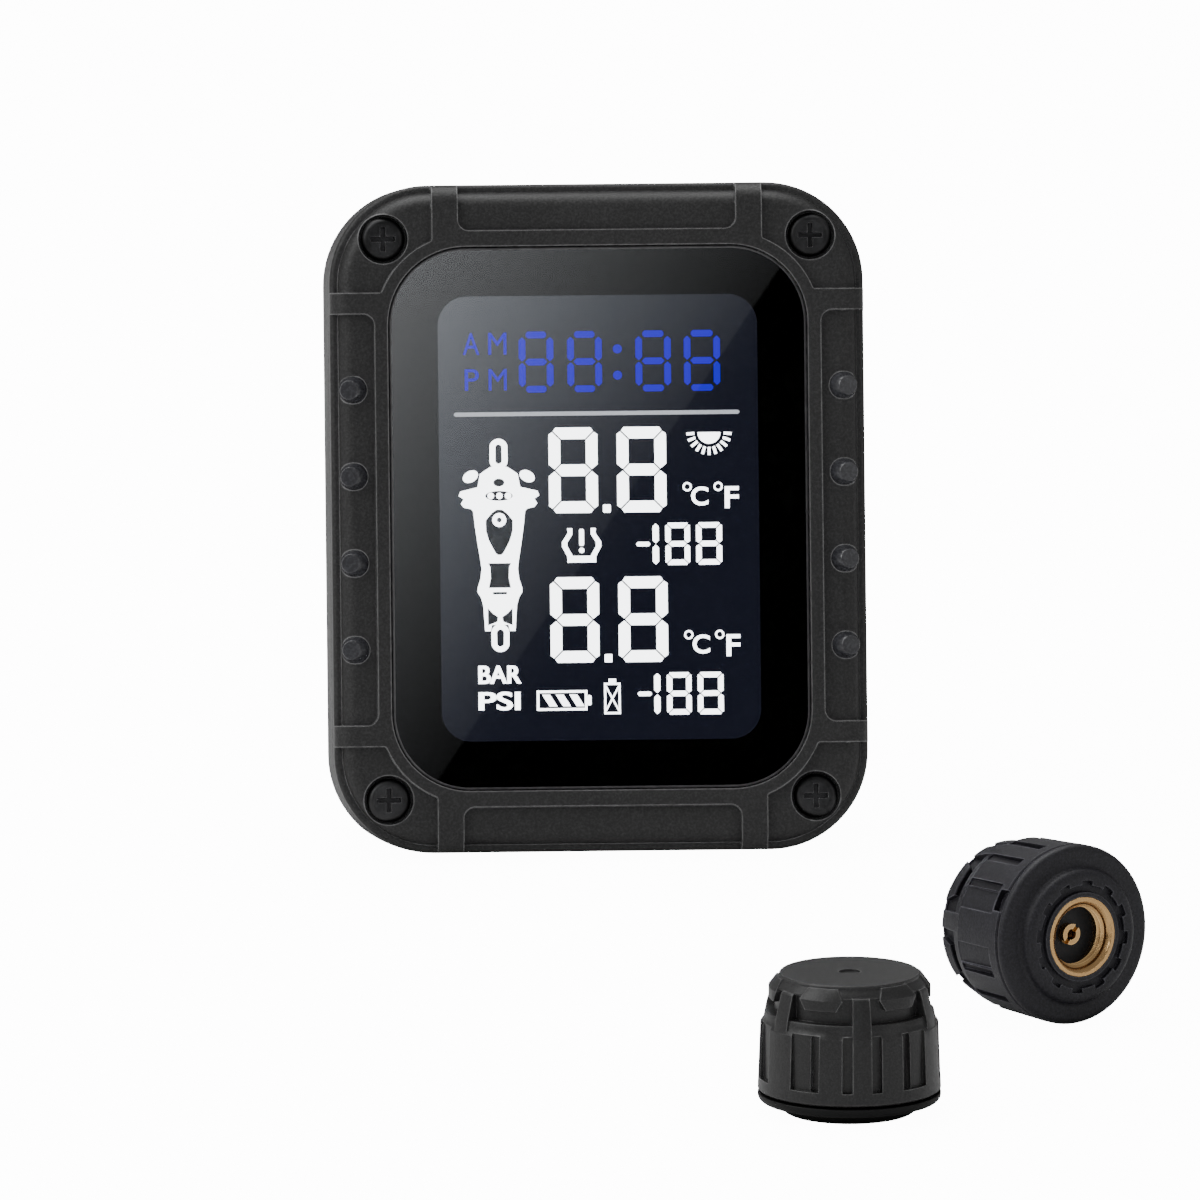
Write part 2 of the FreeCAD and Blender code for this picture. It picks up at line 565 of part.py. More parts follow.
SENSOR_NODES = {
    "cover": sensor_cover, "base": sensor_base, "valve_insert": valve_insert,
    "valve_seat": valve_seat, "depressor_pin": depressor_pin, "cover_oring": cover_oring,
    "pcb": sensor_pcb, "pressure_chip": pressure_chip, "battery_clip": battery_clip,
    "coin_cell": coin_cell, "cap_pad": cap_pad,
}


def write(name, shape, placement):
    placed = shape.copy()
    placed.Placement = placement.multiply(shape.Placement)
    placed.exportStep("parts/" + name + ".step")
    print(name, len(placed.Solids), placed.isValid(), round(placed.Volume, 1))


os.makedirs("parts", exist_ok=True)
for node, make in DISPLAY_NODES.items():
    write(node, make(), display_placement())
for letter, where in (("a", sensor_a_placement()), ("b", sensor_b_placement())):
    for node, make in SENSOR_NODES.items():
        write("sensor_" + letter + "_" + node, make(), where)
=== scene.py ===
"""The look of a motorcycle tyre pressure monitor set: one leaning display and two valve sensors."""
import json
from math import atan2, cos, pi, radians, sin

import bpy
from mathutils import Matrix, Vector


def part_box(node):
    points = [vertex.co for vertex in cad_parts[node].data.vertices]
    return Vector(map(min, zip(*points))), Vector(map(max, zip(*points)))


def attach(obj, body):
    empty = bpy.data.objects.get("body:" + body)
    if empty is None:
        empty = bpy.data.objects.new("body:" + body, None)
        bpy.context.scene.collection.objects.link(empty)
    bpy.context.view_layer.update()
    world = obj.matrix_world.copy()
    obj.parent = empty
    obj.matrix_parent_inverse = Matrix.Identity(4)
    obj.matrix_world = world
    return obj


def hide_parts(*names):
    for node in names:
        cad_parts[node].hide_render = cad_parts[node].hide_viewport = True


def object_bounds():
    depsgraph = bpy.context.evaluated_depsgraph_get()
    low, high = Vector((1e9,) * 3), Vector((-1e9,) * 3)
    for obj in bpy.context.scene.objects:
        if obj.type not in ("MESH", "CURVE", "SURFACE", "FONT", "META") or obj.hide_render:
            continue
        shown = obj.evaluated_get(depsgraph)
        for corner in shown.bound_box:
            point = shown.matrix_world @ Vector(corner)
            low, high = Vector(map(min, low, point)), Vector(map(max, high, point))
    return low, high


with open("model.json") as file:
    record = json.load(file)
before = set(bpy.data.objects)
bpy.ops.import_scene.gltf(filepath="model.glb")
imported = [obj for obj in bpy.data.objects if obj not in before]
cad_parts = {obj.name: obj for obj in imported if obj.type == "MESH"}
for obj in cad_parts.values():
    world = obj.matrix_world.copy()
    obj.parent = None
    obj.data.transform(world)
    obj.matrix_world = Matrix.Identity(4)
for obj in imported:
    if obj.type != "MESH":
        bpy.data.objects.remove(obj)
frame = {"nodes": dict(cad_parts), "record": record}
cad_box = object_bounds()
nodes = frame["nodes"]
mounts = {mount["name"]: mount for mount in frame["record"]["mounts"]}
mm = 0.001

# ---- Table, room, lights and camera ---------------------------------------------------------
# A plain white table top in a white room, with a large soft box overhead, one from the left and
# a weak fill from the right.


def start_fresh():
    """Nothing stays selected, so the next operator acts only on what it is given."""
    if bpy.context.mode != "OBJECT":
        bpy.ops.object.mode_set(mode="OBJECT")
    bpy.ops.object.select_all(action="DESELECT")


def only(piece):
    """This piece alone is selected and active."""
    start_fresh()
    piece.select_set(True)
    bpy.context.view_layer.objects.active = piece
    return piece


def pick(piece, wanted, kind="faces"):
    """In edit mode, the faces, edges or vertices that wanted() accepts, and no others."""
    only(piece)
    modes = {"faces": "FACE", "edges": "EDGE", "vertices": "VERT"}
    bpy.ops.object.mode_set(mode="EDIT")
    bpy.ops.mesh.select_mode(type=modes[kind])
    bpy.ops.mesh.select_all(action="DESELECT")
    bpy.ops.object.mode_set(mode="OBJECT")
    parts = {"faces": piece.data.polygons, "edges": piece.data.edges,
             "vertices": piece.data.vertices}[kind]
    for part in parts:
        part.select = wanted(part)
    bpy.ops.object.mode_set(mode="EDIT")


def settle(piece):
    """Its place goes into its mesh, so the object itself sits at the origin."""
    only(piece)
    bpy.ops.object.transform_apply(location=True, rotation=True, scale=True)
    return piece


def new_material(name, **values):
    """A Principled material with plain numbers on its own sockets."""
    material = bpy.data.materials.new(name)
    material.use_nodes = True
    shader = material.node_tree.nodes["Principled BSDF"]
    for socket, value in values.items():
        shader.inputs[socket.replace("_", " ")].default_value = value
    return material, material.node_tree, shader


def wear(piece, material):
    """The piece's only material."""
    piece.data.materials.clear()
    piece.data.materials.append(material)


seen_white, room_light = 13.0, 0.34
start_fresh()
bpy.ops.mesh.primitive_plane_add(size=16, location=(0, 0, 0))
table = settle(bpy.context.object)
table.name = "table_top"
paper, paper_tree, paper_shader = new_material("white_paper", Roughness=0.9)
paper_grain = paper_tree.nodes.new("ShaderNodeTexNoise")
paper_grain.inputs["Scale"].default_value = 3.0
paper_tones = paper_tree.nodes.new("ShaderNodeValToRGB")
paper_tones.color_ramp.elements[0].color = (0.70, 0.70, 0.70, 1)
paper_tones.color_ramp.elements[1].color = (0.74, 0.74, 0.74, 1)
paper_place = paper_tree.nodes.new("ShaderNodeTexCoord")
paper_tree.links.new(paper_place.outputs["Object"], paper_grain.inputs["Vector"])
paper_tree.links.new(paper_grain.outputs["Fac"], paper_tones.inputs["Fac"])
paper_tree.links.new(paper_tones.outputs["Color"], paper_shader.inputs["Base Color"])
paper_shader.inputs["Emission Color"].default_value = (1.0, 1.0, 1.0, 1)
paper_seen = paper_tree.nodes.new("ShaderNodeLightPath")
paper_lift = paper_tree.nodes.new("ShaderNodeMath")
paper_lift.operation = "MULTIPLY"
paper_lift.inputs[1].default_value = seen_white
paper_tree.links.new(paper_seen.outputs["Is Camera Ray"], paper_lift.inputs[0])
paper_tree.links.new(paper_lift.outputs[0], paper_shader.inputs["Emission Strength"])
wear(table, paper)

world = bpy.data.worlds.new("studio_air")
world.use_nodes = True
air = world.node_tree.nodes["Background"]
air.inputs["Color"].default_value = (1.0, 1.0, 1.0, 1)
air_seen = world.node_tree.nodes.new("ShaderNodeLightPath")
air_strength = world.node_tree.nodes.new("ShaderNodeMapRange")
air_strength.inputs["To Min"].default_value = room_light
air_strength.inputs["To Max"].default_value = seen_white
world.node_tree.links.new(air_seen.outputs["Is Camera Ray"], air_strength.inputs["Value"])
world.node_tree.links.new(air_strength.outputs["Result"], air.inputs["Strength"])
bpy.context.scene.world = world


def soft_box(name, place, aim, size, watts):
    """A rectangular studio light that faces a point on the set."""
    bpy.ops.object.light_add(type="AREA", location=place)
    lamp = bpy.context.object
    lamp.name = name
    lamp.data.shape = "RECTANGLE"
    lamp.data.size, lamp.data.size_y = size
    lamp.data.energy = watts
    lamp.rotation_euler = (Vector(aim) - Vector(place)).to_track_quat("-Z", "Y").to_euler()
    return lamp


set_middle = (Vector(cad_box[0]) + Vector(cad_box[1])) / 2
start_fresh()
soft_box("overhead_box", set_middle + Vector((-0.15, 0.25, 0.95)), set_middle, (0.9, 0.7), 10.0)
soft_box("left_box", set_middle + Vector((-1.0, -0.35, 0.75)), set_middle, (0.5, 0.8), 8.0)
soft_box("right_fill", set_middle + Vector((1.1, -0.7, 0.5)), set_middle, (0.6, 0.6), 1.8)

camera_turn, camera_rise, camera_reach = radians(-3.0), radians(12.0), 4.0595
camera_back = Vector((sin(camera_turn) * cos(camera_rise), -cos(camera_turn) * cos(camera_rise),
                      sin(camera_rise)))
camera_aim = Vector((0.0003, -0.0007, 0.0298))
camera_data = bpy.data.cameras.new("set_camera")
camera_data.lens, camera_data.sensor_width = 1000.0, 36.0
camera_data.clip_end = 100.0
camera = bpy.data.objects.new("set_camera", camera_data)
bpy.context.collection.objects.link(camera)
camera.location = camera_aim + camera_back * camera_reach
camera.rotation_euler = camera_back.to_track_quat("Z", "Y").to_euler()
bpy.context.scene.camera = camera

# ---- Front bezel and back cover -------------------------------------------------------------
# Two ABS mouldings in one charcoal resin, spark-eroded to a fine matt grain. The edges of the
# bezel's raised bands and pockets carry a painted highlight in a paler tone. Four screws hold
# the bezel to the cover.


def polished_copy(node, name, edge_width=0.0, sharp=30.0):
    """A CAD node's mesh, merged, with its flats made whole, its edges eased and smooth shading."""
    source = nodes[node]
    piece = bpy.data.objects.new(name, source.data.copy())
    bpy.context.collection.objects.link(piece)
    piece.data.materials.clear()
    only(piece)
    bpy.ops.object.mode_set(mode="EDIT")
    bpy.ops.mesh.select_all(action="SELECT")
    bpy.ops.mesh.remove_doubles(threshold=0.000002)
    bpy.ops.mesh.dissolve_limited(angle_limit=radians(0.6), delimit={"NORMAL"})
    bpy.ops.object.mode_set(mode="OBJECT")
    if edge_width:
        eased = piece.modifiers.new("eased_edges", "BEVEL")
        eased.width = edge_width
        eased.segments = 2
        eased.limit_method = "ANGLE"
        eased.angle_limit = radians(sharp)
        eased.use_clamp_overlap = True
        eased.harden_normals = True
        bpy.ops.object.modifier_apply(modifier="eased_edges")
    bpy.ops.object.shade_smooth_by_angle(angle=radians(sharp))
    even = piece.modifiers.new("even_flats", "WEIGHTED_NORMAL")
    even.keep_sharp = True
    even.weight = 80
    bpy.ops.object.modifier_apply(modifier="even_flats")
    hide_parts(node)
    bodies = frame["record"]["behaviour"]["bodies"]
    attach(piece, next(body for body, members in bodies.items() if node in members))
    return piece


def new_group(name, inputs, outputs):
    """An empty shader node group with named inputs, each with its usual value, and outputs."""
    group = bpy.data.node_groups.new(name, "ShaderNodeTree")
    for label, value in inputs.items():
        kind = "NodeSocketColor" if isinstance(value, tuple) else "NodeSocketFloat"
        group.interface.new_socket(label, in_out="INPUT", socket_type=kind).default_value = value
    for label, kind in outputs.items():
        group.interface.new_socket(label, in_out="OUTPUT", socket_type=kind)
    return group, group.nodes.new("NodeGroupInput"), group.nodes.new("NodeGroupOutput")


def noise(tree, place, scale, detail=2.0, rough=0.5):
    """Soft random values from 0 to 1, with so many grains to the metre."""
    node = tree.nodes.new("ShaderNodeTexNoise")
    node.inputs["Detail"].default_value = detail
    node.inputs["Roughness"].default_value = rough
    tree.links.new(place, node.inputs["Vector"])
    if isinstance(scale, (int, float)):
        node.inputs["Scale"].default_value = scale
    else:
        tree.links.new(scale, node.inputs["Scale"])
    return node.outputs["Fac"]


def maths(tree, operation, first, second):
    """One Math node; each of its two sides is a socket or a plain number."""
    node = tree.nodes.new("ShaderNodeMath")
    node.operation = operation
    for socket, value in zip(node.inputs, (first, second)):
        if isinstance(value, (int, float)):
            socket.default_value = value
        else:
            tree.links.new(value, socket)
    return node.outputs[0]


def blend_colours(tree, factor, first, second):
    """The first colour where the factor is 0, the second where it is 1; any may be a socket."""
    node = tree.nodes.new("ShaderNodeMix")
    node.data_type = "RGBA"
    for label, value in (("Factor", factor), ("A", first), ("B", second)):
        socket = next(s for s in node.inputs if s.name == label and s.enabled)
        if isinstance(value, (int, float, tuple)):
            socket.default_value = value
        else:
            tree.links.new(value, socket)
    return next(s for s in node.outputs if s.enabled)


def ramp(tree, factor, low, high):
    """0 below low, 1 above high, and straight between."""
    node = tree.nodes.new("ShaderNodeMapRange")
    node.clamp = True
    node.inputs["From Min"].default_value = low
    node.inputs["From Max"].default_value = high
    tree.links.new(factor, node.inputs["Value"])
    return node.outputs["Result"]


def build_moulded_grain():
    """Spark-eroded grain: fine pits, a slow drift of tone, and gloss that varies with the drift."""
    group, given, made = new_group(
        "moulded_grain",
        {"Grain per metre": 5200.0, "Base": (0.03, 0.03, 0.03, 1), "Pale": (0.08, 0.08, 0.08, 1),
         "Roughness": 0.5},
        {"Colour": "NodeSocketColor", "Roughness": "NodeSocketFloat", "Height": "NodeSocketFloat"})
    place = group.nodes.new("ShaderNodeTexCoord").outputs["Object"]
    pits = noise(group, place, given.outputs["Grain per metre"], 3.0, 0.6)
    drift = noise(group, place, 45.0, 3.0, 0.55)
    speck = ramp(group, pits, 0.42, 0.72)
    tone = maths(group, "MULTIPLY", maths(group, "ADD", maths(group, "MULTIPLY", speck, 0.55),
                                          maths(group, "MULTIPLY", drift, 0.5)), 0.75)
    colour = blend_colours(group, tone, given.outputs["Base"], given.outputs["Pale"])
    rough = maths(group, "ADD", given.outputs["Roughness"],
                  maths(group, "MULTIPLY", maths(group, "SUBTRACT", drift, 0.5), 0.22))
    group.links.new(colour, made.inputs["Colour"])
    group.links.new(rough, made.inputs["Roughness"])
    group.links.new(pits, made.inputs["Height"])
    return group


def build_painted_edge_highlight():
    """A painted highlight mask that is 1 along outward corners, broken up so that the highlight
    looks uneven.
    """
    group, given, made = new_group("painted_edge_highlight", {"Radius": 0.0003, "Amount": 1.0},
                                   {"Mask": "NodeSocketFloat"})
    rounded = group.nodes.new("ShaderNodeBevel")
    rounded.samples = 6
    group.links.new(given.outputs["Radius"], rounded.inputs["Radius"])
    facing = group.nodes.new("ShaderNodeNewGeometry")
    agree = group.nodes.new("ShaderNodeVectorMath")
    agree.operation = "DOT_PRODUCT"
    group.links.new(rounded.outputs["Normal"], agree.inputs[0])
    group.links.new(facing.outputs["Normal"], agree.inputs[1])
    edge = ramp(group, maths(group, "SUBTRACT", 1.0, agree.outputs["Value"]), 0.015, 0.16)
    outward = ramp(group, facing.outputs["Pointiness"], 0.49, 0.56)
    place = group.nodes.new("ShaderNodeTexCoord").outputs["Object"]
    broken = ramp(group, noise(group, place, 900.0, 3.0, 0.6), 0.25, 0.75)
    patchy_highlight = maths(group, "MULTIPLY", edge, maths(group, "ADD", broken, 0.35))
    reached = maths(group, "MULTIPLY", maths(group, "ADD", outward, 0.3), given.outputs["Amount"])
    mask = maths(group, "MULTIPLY", patchy_highlight, reached)
    group.links.new(ramp(group, mask, 0.0, 1.0), made.inputs["Mask"])
    return group


moulded_grain = build_moulded_grain()
painted_edge_highlight = build_painted_edge_highlight()


def moulded_plastic(name, base, pale, highlight_tone, roughness, grain=5200.0, relief=0.00002, amount=0.6,
                    **values):
    """A grained moulding whose edges carry a painted highlight in a paler tone."""
    material, tree, shader = new_material(name, **values)
    grained = tree.nodes.new("ShaderNodeGroup")
    grained.node_tree = moulded_grain
    grained.inputs["Grain per metre"].default_value = grain
    grained.inputs["Base"].default_value = (*base, 1)
    grained.inputs["Pale"].default_value = (*pale, 1)
    grained.inputs["Roughness"].default_value = roughness
    edges = tree.nodes.new("ShaderNodeGroup")
    edges.node_tree = painted_edge_highlight
    edges.inputs["Amount"].default_value = amount
    # Painted highlight: the paler tone laid along the edges by the mask.
    colour = blend_colours(tree, edges.outputs["Mask"], grained.outputs["Colour"], (*highlight_tone, 1))
    tree.links.new(colour, shader.inputs["Base Color"])
    tree.links.new(grained.outputs["Roughness"], shader.inputs["Roughness"])
    bump = tree.nodes.new("ShaderNodeBump")
    bump.inputs["Strength"].default_value = 0.5
    bump.inputs["Distance"].default_value = relief
    tree.links.new(grained.outputs["Height"], bump.inputs["Height"])
    tree.links.new(bump.outputs["Normal"], shader.inputs["Normal"])
    return material


# The third colour given to each moulded plastic is its painted edge highlight tone.
case_plastic = moulded_plastic("case_plastic", (0.002, 0.002, 0.002), (0.044, 0.044, 0.0442),
                               (0.20, 0.20, 0.202), 0.50, grain=3400.0, relief=0.00012, amount=1.1,
                               Specular_IOR_Level=0.38)
bezel = polished_copy("front_bezel", "front_bezel_moulding", 0.00010)
wear(bezel, case_plastic)
cover = polished_copy("back_cover", "back_cover_moulding", 0.00012)
wear(cover, case_plastic)

# ---- Grip studs -----------------------------------------------------------------------------
# Eight soft silicone cones, four a side, pressed into sockets in the side pockets. They are
# a touch bluer and glossier than the case.
stud_silicone = moulded_plastic("stud_silicone", (0.014, 0.0142, 0.0165), (0.066, 0.067, 0.075),
                                (0.13, 0.13, 0.14), 0.22, grain=2500.0, relief=0.000008,
                                amount=0.3)
for side in ("left", "right"):
    studs = polished_copy(side + "_grip_studs", side + "_stud_cones", 0.00010, 40.0)
    wear(studs, stud_silicone)

# ---- Housing screws -------------------------------------------------------------------------
# Four M2.5 pan-head cross screws in blackened steel. A painted highlight brightens the rim of
# each head and the edges of the cross.


def machined_metal(name, dark, bright, roughness, lines=2600.0):
    """Metal with fine turned streaks and a slow stain, bright along its edges as a painted
    highlight.
    """
    material, tree, shader = new_material(name, Metallic=1.0)
    place = tree.nodes.new("ShaderNodeTexCoord").outputs["Object"]
    streaks = noise(tree, place, lines, 2.0, 0.7)
    stain = noise(tree, place, 260.0, 4.0, 0.6)
    edges = tree.nodes.new("ShaderNodeGroup")
    edges.node_tree = painted_edge_highlight
    edges.inputs["Radius"].default_value = 0.00018
    # The stain adds real tone; the edge mask adds a painted highlight.
    share = maths(tree, "ADD", maths(tree, "MULTIPLY", stain, 0.45), edges.outputs["Mask"])
    colour = blend_colours(tree, ramp(tree, share, 0.1, 1.0), (*dark, 1), (*bright, 1))
    tree.links.new(colour, shader.inputs["Base Color"])
    rough = maths(tree, "ADD", roughness, maths(tree, "MULTIPLY", streaks, 0.16))
    tree.links.new(rough, shader.inputs["Roughness"])
    bump = tree.nodes.new("ShaderNodeBump")
    bump.inputs["Strength"].default_value = 0.25
    bump.inputs["Distance"].default_value = 0.000008
    tree.links.new(streaks, bump.inputs["Height"])
    tree.links.new(bump.outputs["Normal"], shader.inputs["Normal"])
    return material


black_oxide = machined_metal("black_oxide_steel", (0.010, 0.010, 0.0102), (0.20, 0.20, 0.205), 0.36)
screws = polished_copy("housing_screws", "cross_head_screws", 0.00006)
wear(screws, black_oxide)

# ---- Screen glass ---------------------------------------------------------------------------
# A flush sheet of hard-coated glass, taped into the bezel. Its back is printed black all round,
# which leaves a rounded window. Its ground edge catches a thin bright line.
lean = atan2(-mounts["display_back"]["axis"][2], mounts["display_back"]["axis"][1])
glass_low, glass_high = (Vector(corner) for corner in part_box("glass_lens"))
glass_half_h, glass_t = 32.9 * mm, 1.6 * mm
inward = Vector((0, cos(lean), -sin(lean)))
screen_middle = (glass_low + glass_high) / 2 - inward * glass_t / 2
upright_to_set = Matrix.Translation(screen_middle) @ Matrix.Rotation(-lean, 4, "X")


def lean_back(piece, name):
    """Moves a piece from the screen's upright frame to its leaning place and fixes it there."""
    piece.name = name
    piece.matrix_world = upright_to_set @ piece.matrix_world
    return settle(piece)


def depth_of(edge, piece):
    """How far an edge runs from front to back."""
    ends = [piece.data.vertices[index].co.y for index in edge.vertices]
    return abs(ends[0] - ends[1])


def rounded_sheet(half_w, half_h, corner, front, back, segments=10):
    """A rounded rectangle in the screen's plane, from one depth to another."""
    start_fresh()
    bpy.ops.mesh.primitive_cube_add(size=1, location=(0, (front + back) / 2, 0))
    sheet = bpy.context.object
    sheet.scale = (2 * half_w, back - front, 2 * half_h)
    settle(sheet)
    pick(sheet, lambda edge: depth_of(edge, sheet) > 0.5 * (back - front), "edges")
    bpy.ops.mesh.bevel(offset=corner, segments=segments, affect="EDGES")
    bpy.ops.object.mode_set(mode="OBJECT")
    return sheet


glass_half_w, glass_corner = 25.35 * mm, 9.3 * mm
glass_back = glass_t - 0.06 * mm
glass = rounded_sheet(glass_half_w, glass_half_h, glass_corner, 0.0, glass_back, 24)
pick(glass, lambda face: face.normal.y < -0.9)
bpy.ops.mesh.bevel(offset=0.25 * mm, segments=1, affect="EDGES")
bpy.ops.object.mode_set(mode="OBJECT")
bpy.ops.object.shade_smooth_by_angle(angle=radians(20))
lean_back(glass, "screen_glass")
clear_glass, glass_tree, glass_shader = new_material(
    "hard_coated_glass", Metallic=0.0, Transmission_Weight=1.0, IOR=1.5, Roughness=0.0)
glass_place = glass_tree.nodes.new("ShaderNodeTexCoord").outputs["Object"]
glass_tint = blend_colours(glass_tree, noise(glass_tree, glass_place, 60.0), (0.93, 0.96, 0.98, 1),
                           (0.97, 0.99, 1.0, 1))
glass_tree.links.new(glass_tint, glass_shader.inputs["Base Color"])
wear(glass, clear_glass)
ground_edge, ground_tree, ground_shader = new_material("ground_glass_edge", Roughness=0.35)
ground_place = ground_tree.nodes.new("ShaderNodeTexCoord").outputs["Object"]
ground_tree.links.new(blend_colours(ground_tree, noise(ground_tree, ground_place, 700.0),
                                    (0.05, 0.05, 0.052, 1), (0.13, 0.13, 0.133, 1)),
                      ground_shader.inputs["Base Color"])
glass.data.materials.append(ground_edge)
pick(glass, lambda face: 0.3 < abs(face.normal.dot(inward)) < 0.9)
glass.active_material_index = 1
bpy.ops.object.material_slot_assign()
bpy.ops.object.mode_set(mode="OBJECT")
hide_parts("glass_lens")
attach(glass, "display")

# What the flat glass mirrors towards the viewer: a black flag with one slanted, fading glow on it.
# Outside the part that the glass needs, the flag fades into the tone of the room.
flag_reach = 1.0
flag_spread = 1.0 + flag_reach / camera_reach
flag_way = Vector((-camera_back.x, camera_back.y, camera_back.z))
flag_middle = screen_middle + flag_way * flag_reach
start_fresh()
bpy.ops.mesh.primitive_plane_add(size=0.3, location=flag_middle, rotation=(pi / 2 - lean, 0, 0))
flag = settle(bpy.context.object)
flag.name = "slanted_glow_flag"
flag.visible_camera = False
flag_glow, flag_tree, flag_shader = new_material("slanted_glow", Specular_IOR_Level=0.0)
flag_shader.inputs["Base Color"].default_value = (0.0, 0.0, 0.0, 1)
flag_shader.inputs["Emission Color"].default_value = (0.95, 0.97, 1.0, 1)
flag_place = flag_tree.nodes.new("ShaderNodeTexCoord").outputs["Object"]
flag_split = flag_tree.nodes.new("ShaderNodeSeparateXYZ")
flag_tree.links.new(flag_place, flag_split.inputs[0])
across = maths(flag_tree, "MULTIPLY", maths(flag_tree, "SUBTRACT", flag_split.outputs["X"],
                                            flag_middle.x), 1.0 / (flag_spread * mm))
upward = maths(flag_tree, "MULTIPLY", maths(flag_tree, "SUBTRACT", flag_split.outputs["Z"],
                                            flag_middle.z), 1.0 / (flag_spread * mm * cos(lean)))
slant = maths(flag_tree, "SUBTRACT", maths(flag_tree, "MULTIPLY", upward, 0.5645),
              maths(flag_tree, "MULTIPLY", across, 0.8254))
lit_side = ramp(flag_tree, slant, -0.65, -0.30)
fade = maths(flag_tree, "ADD", maths(flag_tree, "MULTIPLY", across, -0.0202),
             maths(flag_tree, "ADD", maths(flag_tree, "MULTIPLY", upward, 0.0152), 0.295))
fade = maths(flag_tree, "POWER", maths(flag_tree, "MAXIMUM", fade, 0.0), 1.8)
glow_power = maths(flag_tree, "MULTIPLY", maths(flag_tree, "MULTIPLY", fade, lit_side), 1.19)
from_middle = maths(flag_tree, "MAXIMUM", maths(flag_tree, "ABSOLUTE", across, 0.0),
                    maths(flag_tree, "ABSOLUTE", upward, 0.0))
faded = maths(flag_tree, "MULTIPLY", ramp(flag_tree, from_middle, 40.0, 95.0), room_light)
flag_tree.links.new(maths(flag_tree, "MAXIMUM", glow_power, faded),
                    flag_shader.inputs["Emission Strength"])
wear(flag, flag_glow)

window_half_w, window_half_h, window_corner = 19.45 * mm, 27.05 * mm, 3.6 * mm
print_depth = glass_back + 0.01 * mm
border = rounded_sheet(glass_half_w - 0.05 * mm, glass_half_h - 0.05 * mm, glass_corner,
                       print_depth, print_depth + 0.04 * mm, 24)
window = rounded_sheet(window_half_w, window_half_h, window_corner, glass_t - mm, glass_t + mm, 16)
only(border)
opened = border.modifiers.new("window", "BOOLEAN")
opened.operation, opened.solver, opened.object = "DIFFERENCE", "EXACT", window
bpy.ops.object.modifier_apply(modifier="window")
bpy.data.objects.remove(window)
lean_back(border, "printed_black_border")
black_print, print_tree, print_shader = new_material("black_screen_print", Specular_IOR_Level=0.0)
print_place = print_tree.nodes.new("ShaderNodeTexCoord").outputs["Object"]
print_cloud = noise(print_tree, print_place, 900.0, 2.0)
print_tree.links.new(blend_colours(print_tree, print_cloud, (0.0010, 0.0010, 0.0011, 1),
                                   (0.0020, 0.0020, 0.0022, 1)), print_shader.inputs["Base Color"])
print_tree.links.new(ramp(print_tree, print_cloud, -1.0, 1.6), print_shader.inputs["Roughness"])
wear(border, black_print)
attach(border, "display")

# ---- Liquid crystal panel -------------------------------------------------------------------
# A negative panel: a dark blue-grey field, lit from behind, with clear segments that glow white,
# and a blue filter strip over the clock line. Each lit shape is a thin film on the panel's face.
panel_depth = glass_t + 0.12 * mm
field_depth = panel_depth - 0.02 * mm
field = rounded_sheet(20.6 * mm, 28.2 * mm, 0.4 * mm, field_depth, panel_depth + 1.9 * mm, 4)
lean_back(field, "lcd_field")
field_glow, field_tree, field_shader = new_material("lit_lcd_field", Roughness=0.05,
                                                     Specular_IOR_Level=1.0)
field_place = field_tree.nodes.new("ShaderNodeTexCoord").outputs["Object"]
field_cloud = noise(field_tree, field_place, 22.0, 2.0)
field_tree.links.new(blend_colours(field_tree, field_cloud, (0.0020, 0.0024, 0.004, 1),
                                   (0.0030, 0.0036, 0.006, 1)), field_shader.inputs["Base Color"])
field_tree.links.new(blend_colours(field_tree, field_cloud, (0.0090, 0.0098, 0.0180, 1),
                                   (0.0105, 0.0115, 0.0205, 1)),
                     field_shader.inputs["Emission Color"])
field_shader.inputs["Emission Strength"].default_value = 1.0
wear(field, field_glow)
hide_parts("lcd_panel")
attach(field, "display")

film = 0.05 * mm
film_front = panel_depth - film - 0.02 * mm


def lit_block(x0, x1, z0, z1, tip=0.0):
    """A flat bar between two corners, in millimetres on the screen; tip cuts its corners off."""
    start_fresh()
    bpy.ops.mesh.primitive_cube_add(size=1, location=((x0 + x1) / 2 * mm, film_front + film / 2,
                                                      (z0 + z1) / 2 * mm))
    block = bpy.context.object
    block.scale = ((x1 - x0) * mm, film, (z1 - z0) * mm)
    settle(block)
    if tip:
        pick(block, lambda edge: depth_of(edge, block) > film / 2, "edges")
        bpy.ops.mesh.bevel(offset=tip * mm, segments=1, affect="EDGES")
        bpy.ops.object.mode_set(mode="OBJECT")
    return block


def lit_disc(x, z, radius, squash=1.0, sides=28):
    start_fresh()
    bpy.ops.mesh.primitive_cylinder_add(vertices=sides, radius=radius * mm, depth=film,
                                        location=(x * mm, film_front + film / 2, z * mm),
                                        rotation=(pi / 2, 0, 0))
    disc = settle(bpy.context.object)
    if squash != 1.0:
        pick(disc, lambda vertex: True, "vertices")
        bpy.ops.transform.resize(value=(squash, 1, 1), center_override=(x * mm, 0, z * mm))
        bpy.ops.object.mode_set(mode="OBJECT")
    return disc


def lit_outline(points):
    """A flat plate with any outline: a disc whose corners are moved to the points one by one."""
    plate = lit_disc(0, 0, 1.0, sides=len(points))
    pick(plate, lambda face: face.normal.y > -0.9)
    bpy.ops.mesh.delete(type="FACE")
    bpy.ops.object.mode_set(mode="OBJECT")
    order = plate.data.polygons[0].vertices[:]
    for corner, (x, z) in zip(reversed(order), points):
        here = plate.data.vertices[corner].co
        way = (x * mm - here.x, 0, z * mm - here.z)
        pick(plate, lambda vertex: vertex.index == corner, "vertices")
        bpy.ops.transform.translate(value=way)
        bpy.ops.object.mode_set(mode="OBJECT")
    pick(plate, lambda face: True)
    bpy.ops.mesh.extrude_region_move(TRANSFORM_OT_translate={"value": (0, film, 0)})
    bpy.ops.mesh.select_all(action="SELECT")
    bpy.ops.mesh.normals_make_consistent(inside=False)
    bpy.ops.object.mode_set(mode="OBJECT")
    return plate


